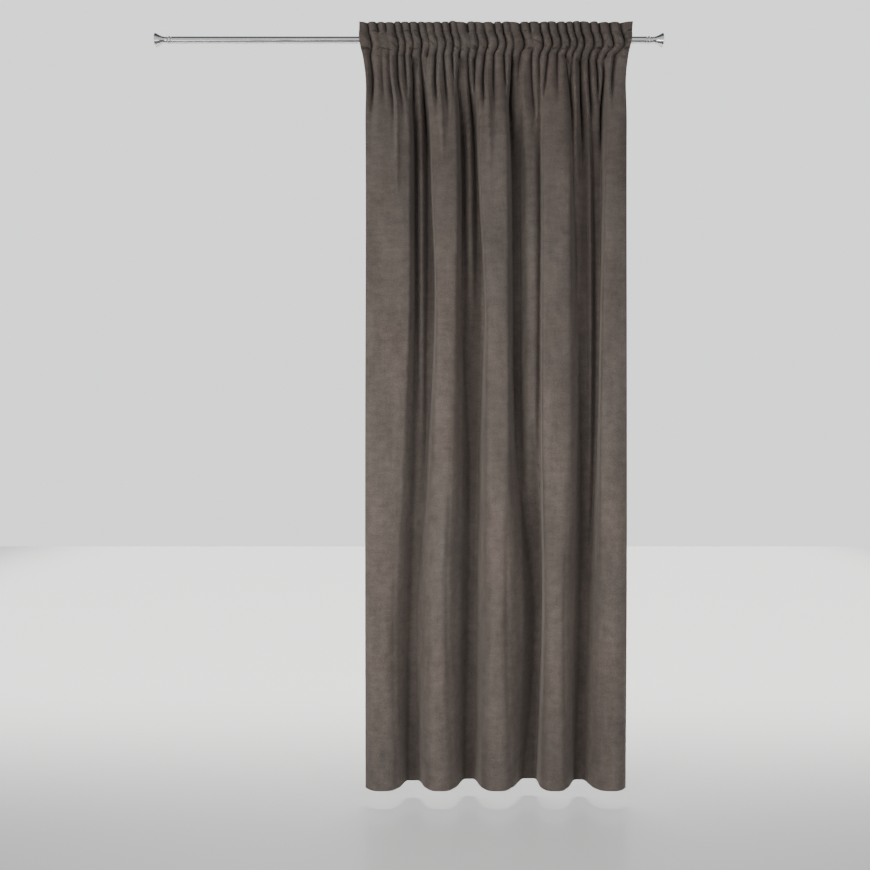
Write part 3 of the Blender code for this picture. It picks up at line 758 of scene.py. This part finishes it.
class Wiring:
    """Adds nodes to a material or a world and joins them."""

    def __init__(self, owner):
        self.tree = owner.node_tree

    def feed(self, node, links):
        """Joins sockets to a node's inputs."""
        for socket, source in dict(links).items():
            self.tree.links.new(source, node.inputs[socket])

    def add(self, kind, links=(), **settings):
        """Adds a shader node of a kind, with plain values for its sockets or its own settings."""
        node = self.tree.nodes.new(kind)
        for key, value in settings.items():
            if key in node.inputs:
                node.inputs[key].default_value = value
            else:
                setattr(node, key, value)
        self.feed(node, links)
        return node

    def noise(self, place, scale, detail=2.0, roughness=0.5):
        settings = {"Scale": scale, "Detail": detail, "Roughness": roughness}
        return self.add("ShaderNodeTexNoise", {"Vector": place}, **settings).outputs["Fac"]

    def stretched(self, place, scale, detail=2.0, roughness=0.5):
        """Noise whose grain is a different size along each axis."""
        place = self.add("ShaderNodeMapping", {"Vector": place}, Scale=scale).outputs[0]
        return self.noise(place, 1.0, detail, roughness)

    def ranged(self, value, to_low, to_high, low=NOISE_LOW, high=NOISE_HIGH):
        """A value's range, as a rule that of a noise, turned into another one."""
        sizes = {"From Min": low, "From Max": high, "To Min": to_low, "To Max": to_high}
        return self.add("ShaderNodeMapRange", {"Value": value}, **sizes).outputs[0]

    def combined(self, operation, first, second):
        return self.add("ShaderNodeMath", {0: first, 1: second}, operation=operation).outputs[0]

    def mixed(self, *layers):
        """Layers, each a value with what its range becomes and that range, multiplied."""
        total = self.ranged(*layers[0])
        for layer in layers[1:]:
            total = self.combined("MULTIPLY", total, self.ranged(*layer))
        return total

    def shaded(self, colour, shade):
        """A plain colour, made lighter and darker by a socket."""
        node = self.add("ShaderNodeVectorMath", {"Scale": shade}, operation="SCALE")
        node.inputs[0].default_value = colour
        return node.outputs[0]

    def ramp(self, value, *stops):
        """Colours between two stops, each a position and its colour."""
        node = self.add("ShaderNodeValToRGB", {"Fac": value})
        for element, (position, colour) in zip(node.color_ramp.elements, stops):
            element.position = position
            element.color = colour
        return node.outputs["Color"]

    def bumped(self, height, strength, distance, normal=None):
        """The normal of a surface that a height roughens, on top of an earlier normal."""
        links = {"Height": height, "Normal": normal} if normal else {"Height": height}
        return self.add("ShaderNodeBump", links, Strength=strength, Distance=distance).outputs[0]


def principled(name, colour, roughness, settings=()):
    """A new material with its shader, whose further settings are given by name, and its wiring."""
    material = bpy.data.materials.new(name)
    material.use_nodes = True
    shader = material.node_tree.nodes["Principled BSDF"]
    shader.inputs["Base Color"].default_value = (*colour, 1.0)
    shader.inputs["Roughness"].default_value = roughness
    for socket, value in dict(settings).items():
        shader.inputs[socket].default_value = value
    return material, shader, Wiring(material)


def turned_in(across, down, drops):
    """How much thicker the cloth is, behind, where its edges are turned in."""
    hem = 1.0 - ease((down - drops[0] - HEM_DEPTH + STEP_BELOW) / HEM_STEP)
    edge = np.minimum(across, CLOTH_WIDTH - across)
    side = 1.0 - ease((edge - SIDE_HEM) / SIDE_STEP)
    return np.maximum(hem, side) * HEM_PLIES


def tinted(colour, tint):
    return (*(part * share for part, share in zip(colour, tint)), 1.0)


@functools.lru_cache
def cloth_plan():
    """The middle of the cloth as a grid, the painted shade of each point in the grooves and
    recesses, and its place on the flat cloth."""
    threads = spread_columns(groove_shares(NECK))
    rows = [row_points(row, threads) for row in cloth_rows()]
    grid = np.array([points for points, painted_shade in rows])
    painted_shade = np.array([painted_shade for points, painted_shade in rows])
    steps = np.linalg.norm(np.diff(grid, axis=0), axis=2)
    return grid, painted_shade, threads * CLOTH_WIDTH, running(np.median(steps, axis=1))


def velvet_material(look):
    """Cut pile on the face: mottled where it has been brushed, crushed across in short marks, and
    painted darker in the grooves and recesses as painted shade.
    """
    sheen = {
        "Specular IOR Level": 0.2,
        "Sheen Weight": 0.6,
        "Sheen Roughness": 0.4,
        "Sheen Tint": (0.66, 0.60, 0.55, 1.0),
    }
    material, shader, wiring = principled("Taupe velvet", look.pile_colour, 0.9, sheen)
    place = wiring.add("ShaderNodeUVMap", uv_map="Cloth").outputs[0]
    drift = wiring.stretched(place, (3.0, 2.0, 1.0))
    broad = wiring.stretched(place, (10.0, 3.2, 1.0), 4.0, 0.62)
    streaks = wiring.stretched(place, (85.0, 3.0, 1.0))
    crush = wiring.stretched(place, (24.0, 62.0, 1.0), 4.0, 0.65)
    patches = wiring.stretched(place, (34.0, 30.0, 1.0), 3.0, 0.6)
    speckle = wiring.stretched(place, (210.0, 240.0, 1.0), 3.0, 0.7)
    pile = wiring.stretched(place, (1400.0, 1100.0, 1.0), 1.0)
    # painted shade: how deep each point lies in a groove or recess, read from the mesh
    painted_groove_shade = wiring.add("ShaderNodeAttribute", attribute_name="groove").outputs["Fac"]
    shade = wiring.mixed(
        (broad, 0.84, 1.14, 0.34, 0.66),
        (streaks, 0.98, 1.02),
        (crush, 0.90, 1.10),
        (patches, 0.86, 1.14),
        (speckle, 0.80, 1.20),
        (pile, 0.88, 1.12, 0.25, 0.75),
        # painted shade in the grooves and recesses
        (painted_groove_shade, 1.06, 0.24, 0.0, 1.0),
    )
    warmth = wiring.ramp(
        drift,
        (0.35, tinted(look.pile_colour, (0.985, 1.0, 1.015))),
        (0.65, tinted(look.pile_colour, (1.02, 0.99, 0.985))),
    )
    links = {0: warmth, "Scale": shade}
    colour = wiring.add("ShaderNodeVectorMath", links, operation="SCALE").outputs[0]
    normal = None
    for height, strength, distance in (
        (broad, 0.5, 0.012),
        (streaks, 0.25, 0.0012),
        (crush, 0.5, 0.0016),
        (speckle, 0.5, 0.0007),
        (pile, 0.4, 0.0003),
    ):
        normal = wiring.bumped(height, strength, distance, normal)
    roughness = wiring.ranged(patches, 0.78, 0.95)
    wiring.feed(shader, {"Base Color": colour, "Roughness": roughness, "Normal": normal})
    return material


def cloth_back_material(look):
    """The woven ground behind the pile."""
    dull = {"Specular IOR Level": 0.15}
    material, shader, wiring = principled("Velvet back", look.back_colour, 0.92, dull)
    place = wiring.add("ShaderNodeUVMap", uv_map="Cloth").outputs[0]
    warp = wiring.add("ShaderNodeTexWave", {"Vector": place}, Scale=380.0, Distortion=0.6)
    weft = wiring.add("ShaderNodeTexWave", {"Vector": place}, Scale=300.0, Distortion=0.6)
    weft.bands_direction = "Y"
    weave = wiring.combined("MULTIPLY", warp.outputs["Fac"], weft.outputs["Fac"])
    broad = wiring.stretched(place, (8.0, 3.0, 1.0), 3.0, 0.6)
    shade = wiring.mixed((weave, 0.82, 1.12, 0.0, 1.0), (broad, 0.93, 1.07))
    links = {
        "Base Color": wiring.shaded(look.back_colour, shade),
        "Roughness": wiring.ranged(broad, 0.86, 0.96),
        "Normal": wiring.bumped(weave, 0.5, 0.0004),
    }
    wiring.feed(shader, links)
    return material


def steel_material(look, name, grain):
    """Polished steel with fine lines left by drawing or turning it, and faint smudges. grain is
    how fine they are along each axis."""
    material, shader, wiring = principled(name, look.steel_colour, 0.14, {"Metallic": 1.0})
    place = wiring.add("ShaderNodeTexCoord").outputs["Object"]
    lines = wiring.stretched(place, grain, 2.0, 0.6)
    smudges = wiring.stretched(place, (18.0, 18.0, 18.0), 3.0, 0.6)
    roughness = wiring.combined(
        "ADD",
        wiring.ranged(lines, 0.06, 0.13),
        wiring.ranged(smudges, 0.0, 0.09, 0.4, 0.7),
    )
    wiring.feed(shader, {"Roughness": roughness, "Normal": wiring.bumped(lines, 0.12, 0.0001)})
    return material


def thread_material(look):
    """Twisted sewing thread."""
    material, shader, wiring = principled("Sewing thread", look.thread_colour, 0.7)
    place = wiring.add("ShaderNodeTexCoord").outputs["Object"]
    twist = wiring.noise(place, 1800.0, 1.0)
    shade = wiring.ranged(twist, 0.75, 1.15)
    links = {
        "Base Color": wiring.shaded(look.thread_colour, shade),
        "Roughness": wiring.ranged(twist, 0.6, 0.8),
        "Normal": wiring.bumped(twist, 0.5, 0.0002),
    }
    wiring.feed(shader, links)
    return material


# ---- sewing


def on_cloth(across, down, side):
    """Points and outward normals of the cloth's face, side 1, or back, side -1, at places on the
    flat cloth."""
    grid, painted_shade, threads, drops = cloth_plan()
    normals = surface_normals(grid)
    column = np.interp(across, threads, np.arange(len(threads)))
    row = np.interp(down, drops, np.arange(len(drops)))
    i = np.minimum(row.astype(int), len(drops) - 2)
    j = np.minimum(column.astype(int), len(threads) - 2)
    u = (column - j)[:, None]
    v = (row - i)[:, None]

    def blended(values):
        upper = values[i, j] * (1 - u) + values[i, j + 1] * u
        lower = values[i + 1, j] * (1 - u) + values[i + 1, j + 1] * u
        return upper * (1 - v) + lower * v

    outward = unit(blended(normals))
    thickness = bpy.context.scene.curtain_cloth.thickness
    plies = turned_in(across, down, drops) if side < 0 else np.zeros(len(across))
    return blended(grid) + outward * (side * (thickness / 2.0 + plies))[:, None], outward * side


def sewn_thread(start, end, pitch, side):
    """A thread sewn from one place on the flat cloth to another. It lies on the cloth for most
    of each stitch and dips into it between stitches. Returns its points and faces."""
    start, end = np.array(start), np.array(end)
    stitches = int(np.linalg.norm(end - start) / pitch)
    phases = (np.arange(stitches)[:, None] + np.array(STITCH_PHASES)).ravel()
    places = start + (end - start) * (phases / stitches)[:, None]
    points, outward = on_cloth(places[:, 0], places[:, 1], side)
    dip = THREAD_DIP * np.clip(np.cos(math.tau * phases), 0.0, None) ** DIP_POWER
    points = points + outward * (THREAD_RADIUS * (THREAD_LIFT - dip))[:, None]
    forward = unit(np.gradient(points, axis=0))
    sideways = unit(np.cross(forward, outward))
    upward = np.cross(sideways, forward)
    angles = math.tau * np.arange(THREAD_SIDES) / THREAD_SIDES
    rings = [
        points + THREAD_RADIUS * (math.cos(angle) * upward + math.sin(angle) * sideways)
        for angle in angles
    ]
    tube = np.stack(rings, axis=1).reshape(-1, 3)
    index = np.arange(len(tube)).reshape(-1, THREAD_SIDES)
    faces = grid_faces(np.column_stack([index, index[:, 0]]).T)
    return tube, faces + [tuple(index[0]), tuple(index[-1, ::-1])]


def sewn_across(down, pitch, side):
    """A seam from one side edge of the cloth to the other."""
    return sewn_thread((SEAM_INSET, down), (CLOTH_WIDTH - SEAM_INSET, down), pitch, side)


def joined(name, pieces, material):
    """One mesh object of several point and face lists."""
    points, faces = [], []
    for piece_points, piece_faces in pieces:
        faces += [tuple(int(k) + len(points) for k in face) for face in piece_faces]
        points += list(piece_points)
    return mesh_object(name, points, faces, material)


# ---- what a user would change


def colour_setting(name, description, default):
    limits = {"min": 0.0, "max": 1.0, "subtype": "COLOR"}
    return FloatVectorProperty(name=name, description=description, default=default, **limits)


def power_setting(name, description, default):
    limits = {"min": 0.0, "unit": "POWER"}
    return FloatProperty(name=name, description=description, default=default, **limits)


class CurtainCloth(bpy.types.PropertyGroup):
    """The velvet's thickness and colours."""

    thickness: FloatProperty(
        name="Thickness",
        description="Thickness of the velvet",
        default=0.0012,
        min=0.0005,
        max=0.003,
        unit="LENGTH",
    )
    pile_colour: colour_setting("Pile colour", "Colour of the velvet's face", (0.125, 0.106, 0.095))
    thread_colour: colour_setting(
        "Thread colour", "Colour of the sewing thread", (0.150, 0.128, 0.110)
    )
    back_colour: colour_setting(
        "Back colour", "Colour of the velvet's woven back", (0.095, 0.082, 0.072)
    )


class CurtainMetal(bpy.types.PropertyGroup):
    """The rod's and the finials' finish."""

    steel_colour: colour_setting("Steel colour", "Colour of the polished steel", (0.60, 0.60, 0.61))


class CurtainStage(bpy.types.PropertyGroup):
    """The floor, the surroundings and the lights."""

    floor_colour: colour_setting("Floor colour", "Colour of the pale floor", (0.80, 0.80, 0.80))
    backdrop_colour: colour_setting(
        "Backdrop colour", "Colour seen behind the curtain", (0.86, 0.87, 0.88)
    )
    key_power: power_setting("Key light", "Power of the large soft light at the front left", 19.3)
    fill_power: power_setting("Fill light", "Power of the soft light at the front right", 6.2)
    heading_power: power_setting(
        "Heading light", "Power of the light that rakes the heading from the left", 0.9
    )
    overhead_power: power_setting(
        "Overhead light", "Power of the panel overhead that lights the floor", 620.0
    )
    world_strength: FloatProperty(
        name="Surrounding light",
        description="Strength of the even light from all round",
        default=0.26,
        min=0.0,
    )


# ---- operators


def edit_all(thing):
    """Selects a thing alone and opens its mesh for editing, all of it selected."""
    bpy.ops.object.select_all(action="DESELECT")
    thing.select_set(True)
    bpy.context.view_layer.objects.active = thing
    bpy.ops.object.mode_set(mode="EDIT")
    bpy.ops.mesh.select_all(action="SELECT")


def draw_out(distance, widening):
    """Extrudes what is selected along the rod and makes its end wider or narrower."""
    bpy.ops.mesh.extrude_region_move(TRANSFORM_OT_translate={"value": (distance, 0.0, 0.0)})
    bpy.ops.transform.resize(value=(1.0, widening, widening))


class CURTAIN_OT_hang_cloth(bpy.types.Operator):
    """Hang the gathered velvet in its folds"""

    bl_idname = "curtain.hang_cloth"
    bl_label = "Hang the velvet"

    def execute(self, context):
        look = context.scene.curtain_cloth
        middle, painted_shade, across, down = cloth_plan()
        normals = surface_normals(middle)
        rows, columns = middle.shape[:2]
        count = rows * columns
        plies = turned_in(across[None, :], down[:, None], down)
        front = middle + normals * look.thickness / 2.0
        back = middle - normals * (look.thickness / 2.0 + plies)[:, :, None]
        points = np.concatenate([front.reshape(-1, 3), back.reshape(-1, 3)])
        index = np.arange(count).reshape(rows, columns)
        faces = grid_faces(index)
        faces += [tuple(k + count for k in reversed(quad)) for quad in faces]
        rim = (index[0, ::-1], index[1:, 0], index[-1, 1:], index[-2:0:-1, -1])
        rim = [int(k) for k in np.concatenate(rim)]
        faces += [(a, b, b + count, a + count) for a, b in zip(rim, rim[1:] + rim[:1])]
        curtain = mesh_object("velvet_curtain", points, faces, velvet_material(look))
        curtain.data.materials.append(cloth_back_material(look))
        single = (rows - 1) * (columns - 1)
        slots = np.zeros(len(faces), np.int32)
        slots[single : 2 * single] = 1
        curtain.data.polygons.foreach_set("material_index", slots)
        flat = np.stack(np.broadcast_arrays(across[None, :], down[:, None]), axis=2)
        flat = np.concatenate([flat.reshape(-1, 2)] * 2)
        layer = curtain.data.uv_layers.new(name="Cloth")
        corners = np.empty(len(curtain.data.loops), np.int32)
        curtain.data.loops.foreach_get("vertex_index", corners)
        layer.data.foreach_set("uv", flat[corners].astype(np.float32).ravel())
        # The painted shade of the grooves and recesses, kept on each point for the velvet to darken
        # its colour by.
        groove = curtain.data.attributes.new("groove", "FLOAT", "POINT")
        groove.data.foreach_set("value", np.concatenate([painted_shade.ravel()] * 2).astype(np.float32))
        curtain.data.shade_smooth()
        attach(curtain, "root")
        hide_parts("curtain_panel")
        return {"FINISHED"}


class CURTAIN_OT_sew_stitches(bpy.types.Operator):
    """Sew the heading, the bottom hem and the side hems"""

    bl_idname = "curtain.sew_stitches"
    bl_label = "Sew the stitches"

    def execute(self, context):
        curtain = bpy.data.objects.get("velvet_curtain")
        if curtain is None:
            raise RuntimeError("Hang the velvet before sewing it.")
        grid, painted_shade, across, down = cloth_plan()
        rows = cloth_rows()
        front = [i for i, row in enumerate(rows) if row.ply == -1.0][:-1]
        back = [i for i, row in enumerate(rows) if row.ply == 1.0][1:]
        threads = []
        for height in (UPPER_STITCHES, LOWER_STITCHES):
            for ply, side in ((front, 1), (back[::-1], -1)):
                drop = float(np.interp(height, [rows[i].height for i in ply], down[ply]))
                threads.append(sewn_across(drop, HEADING_PITCH, side))
        threads.append(sewn_across(down[0] + HEM_DEPTH - HEM_SEAM, HEM_PITCH, -1))
        neck = down[0] + (NECK - HEM)
        for edge in (SIDE_HEM - SIDE_SEAM, CLOTH_WIDTH - SIDE_HEM + SIDE_SEAM):
            threads.append(sewn_thread((edge, down[0] + HEM_SEAM), (edge, neck), HEM_PITCH, -1))
        stitching = joined("stitching", threads, thread_material(context.scene.curtain_cloth))
        stitching.data.shade_smooth()
        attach(stitching, "root")
        return {"FINISHED"}


class CURTAIN_OT_polish_rod(bpy.types.Operator):
    """Give the rod its drawn, polished finish"""

    bl_idname = "curtain.polish_rod"
    bl_label = "Polish the rod"

    def execute(self, context):
        drawn = steel_material(context.scene.curtain_metal, "Drawn steel", (3.0, 900.0, 900.0))
        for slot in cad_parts["rod_tube"].material_slots:
            slot.material = drawn
        return {"FINISHED"}


class CURTAIN_OT_turn_finials(bpy.types.Operator):
    """Turn a finial, set it in the rod's right end and copy it to the left one"""

    bl_idname = "curtain.turn_finials"
    bl_label = "Turn the finials"

    def execute(self, context):
        turned = steel_material(context.scene.curtain_metal, "Turned steel", (1500.0, 8.0, 8.0))
        bpy.ops.object.select_all(action="DESELECT")
        first = FINIAL[0]
        bpy.ops.mesh.primitive_circle_add(
            vertices=FINIAL_SIDES,
            radius=first.radius,
            fill_type="NGON",
            location=(ROD_HIGH[0] + first.along, 0.0, 0.0),
            rotation=(0.0, math.radians(90.0), 0.0),
        )
        right = context.active_object
        right.name = "flared_finial_right"
        bpy.ops.object.transform_apply(location=True, rotation=True, scale=True)
        edit_all(right)
        for before, point in zip(FINIAL, FINIAL[1:]):
            draw_out(point.along - before.along, point.radius / before.radius)
        bpy.ops.mesh.inset(thickness=DISH_RIM)
        draw_out(-DISH_DEPTH, DISH_TAPER)
        bpy.ops.mesh.select_all(action="SELECT")
        bpy.ops.mesh.normals_make_consistent(inside=False)
        bpy.ops.object.mode_set(mode="OBJECT")
        bevel = right.modifiers.new("rounded rings", "BEVEL")
        bevel.width = RING_BEVEL
        bevel.segments = 2
        bevel.limit_method = "ANGLE"
        bevel.angle_limit = math.radians(BEVEL_ANGLE)
        bpy.ops.object.modifier_apply(modifier=bevel.name)
        bpy.ops.object.shade_smooth_by_angle(angle=math.radians(SMOOTH_ANGLE))
        right.data.materials.append(turned)

        left = right.copy()
        left.data = right.data.copy()
        left.name = "flared_finial_left"
        context.scene.collection.objects.link(left)
        edit_all(left)
        middle = ((ROD_LOW[0] + ROD_HIGH[0]) / 2.0, 0.0, 0.0)
        bpy.ops.transform.rotate(value=math.pi, orient_axis="Z", center_override=middle)
        bpy.ops.object.mode_set(mode="OBJECT")
        for finial, node in ((right, "finial_right"), (left, "finial_left")):
            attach(finial, "root")
            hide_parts(node)
        return {"FINISHED"}


def lay_floor(stage):
    """Lays the pale floor, which looks paler than its lights make it."""
    bpy.ops.object.select_all(action="DESELECT")
    bpy.ops.mesh.primitive_plane_add(size=FLOOR_SIZE, location=(0.0, 0.0, FLOOR_HEIGHT))
    floor = bpy.context.active_object
    floor.name = "floor"
    material, shader, wiring = principled("Pale floor", stage.floor_colour, 0.28)
    seen = wiring.add("ShaderNodeLightPath").outputs["Is Camera Ray"]
    shader.inputs["Emission Color"].default_value = (*stage.floor_colour, 1.0)
    wiring.feed(shader, {"Emission Strength": wiring.ranged(seen, 0.0, FLOOR_GLOW, 0.0, 1.0)})
    floor.data.materials.append(material)


def surround(stage):
    """Gives the world its light, which is pale near the ground, and the backdrop that is seen."""
    world = bpy.data.worlds.new("Studio")
    bpy.context.scene.world = world
    world.use_nodes = True
    background = world.node_tree.nodes["Background"]
    wiring = Wiring(world)
    place = wiring.add("ShaderNodeTexCoord").outputs["Generated"]
    up = wiring.add("ShaderNodeSeparateXYZ", {0: place}).outputs["Z"]
    light = wiring.ramp(up, (0.50, (0.95, 0.97, 1.0, 1.0)), (0.85, (0.10, 0.10, 0.11, 1.0)))
    rays = wiring.add("ShaderNodeLightPath").outputs
    strengths = stage.world_strength, GLOSSY_STRENGTH
    strength = wiring.ranged(rays["Is Glossy Ray"], *strengths, 0.0, 1.0)
    wiring.feed(background, {"Color": light, "Strength": strength})
    backdrop = {"Color": (*stage.backdrop_colour, 1.0), "Strength": BACKDROP_STRENGTH}
    pale = wiring.add("ShaderNodeBackground", **backdrop)
    links = {0: rays["Is Camera Ray"], 1: background.outputs[0], 2: pale.outputs[0]}
    both = wiring.add("ShaderNodeMixShader", links).outputs[0]
    wiring.feed(world.node_tree.nodes["World Output"], {"Surface": both})


def soft_light(lamp, power):
    """A large soft light, turned towards its target."""
    light = bpy.data.lights.new(lamp.name, "AREA")
    light.shape = "RECTANGLE"
    light.size, light.size_y = lamp.size
    light.energy = power
    light.color = LIGHT_COLOUR
    light.spread = math.radians(lamp.spread)
    panel = bpy.data.objects.new(lamp.name, light)
    bpy.context.scene.collection.objects.link(panel)
    panel.location = lamp.place
    away = Vector(lamp.target) - panel.location
    panel.rotation_euler = away.to_track_quat("-Z", "Y").to_euler()


class CURTAIN_OT_set_stage(bpy.types.Operator):
    """Lay the floor, set the lights and stand the camera before the curtain"""

    bl_idname = "curtain.set_stage"
    bl_label = "Set the stage"

    def execute(self, context):
        stage = context.scene.curtain_stage
        lay_floor(stage)
        surround(stage)
        for lamp in LAMPS:
            soft_light(lamp, getattr(stage, f"{lamp.name}_power"))
        lens = bpy.data.cameras.new("camera")
        lens.sensor_width = SENSOR_WIDTH
        lens.lens = FOCAL_LENGTH
        camera = bpy.data.objects.new("camera", lens)
        context.scene.collection.objects.link(camera)
        camera.location = CAMERA_PLACE
        camera.rotation_euler = (math.radians(90.0), 0.0, 0.0)
        context.scene.camera = camera
        return {"FINISHED"}


class CURTAIN_PT_panel(bpy.types.Panel):
    """The curtain's pieces and settings"""

    bl_idname = "CURTAIN_PT_panel"
    bl_label = "Velvet curtain"
    bl_space_type = "VIEW_3D"
    bl_region_type = "UI"
    bl_category = "Curtain"

    def draw(self, context):
        layout = self.layout
        for group in (
            context.scene.curtain_cloth,
            context.scene.curtain_metal,
            context.scene.curtain_stage,
        ):
            for name in group.__annotations__:
                layout.prop(group, name)
        for operator in OPERATORS:
            layout.operator(operator.bl_idname)


OPERATORS = (
    CURTAIN_OT_hang_cloth,
    CURTAIN_OT_sew_stitches,
    CURTAIN_OT_polish_rod,
    CURTAIN_OT_turn_finials,
    CURTAIN_OT_set_stage,
)
CLASSES = (CurtainCloth, CurtainMetal, CurtainStage, *OPERATORS, CURTAIN_PT_panel)


def register():
    for cls in CLASSES:
        bpy.utils.register_class(cls)
    bpy.types.Scene.curtain_cloth = PointerProperty(type=CurtainCloth)
    bpy.types.Scene.curtain_metal = PointerProperty(type=CurtainMetal)
    bpy.types.Scene.curtain_stage = PointerProperty(type=CurtainStage)


def unregister():
    del bpy.types.Scene.curtain_stage
    del bpy.types.Scene.curtain_metal
    del bpy.types.Scene.curtain_cloth
    for cls in reversed(CLASSES):
        bpy.utils.unregister_class(cls)


def main():
    register()
    bpy.ops.curtain.hang_cloth()
    bpy.ops.curtain.sew_stitches()
    bpy.ops.curtain.polish_rod()
    bpy.ops.curtain.turn_finials()
    bpy.ops.curtain.set_stage()


if __name__ == "__main__":
    main()
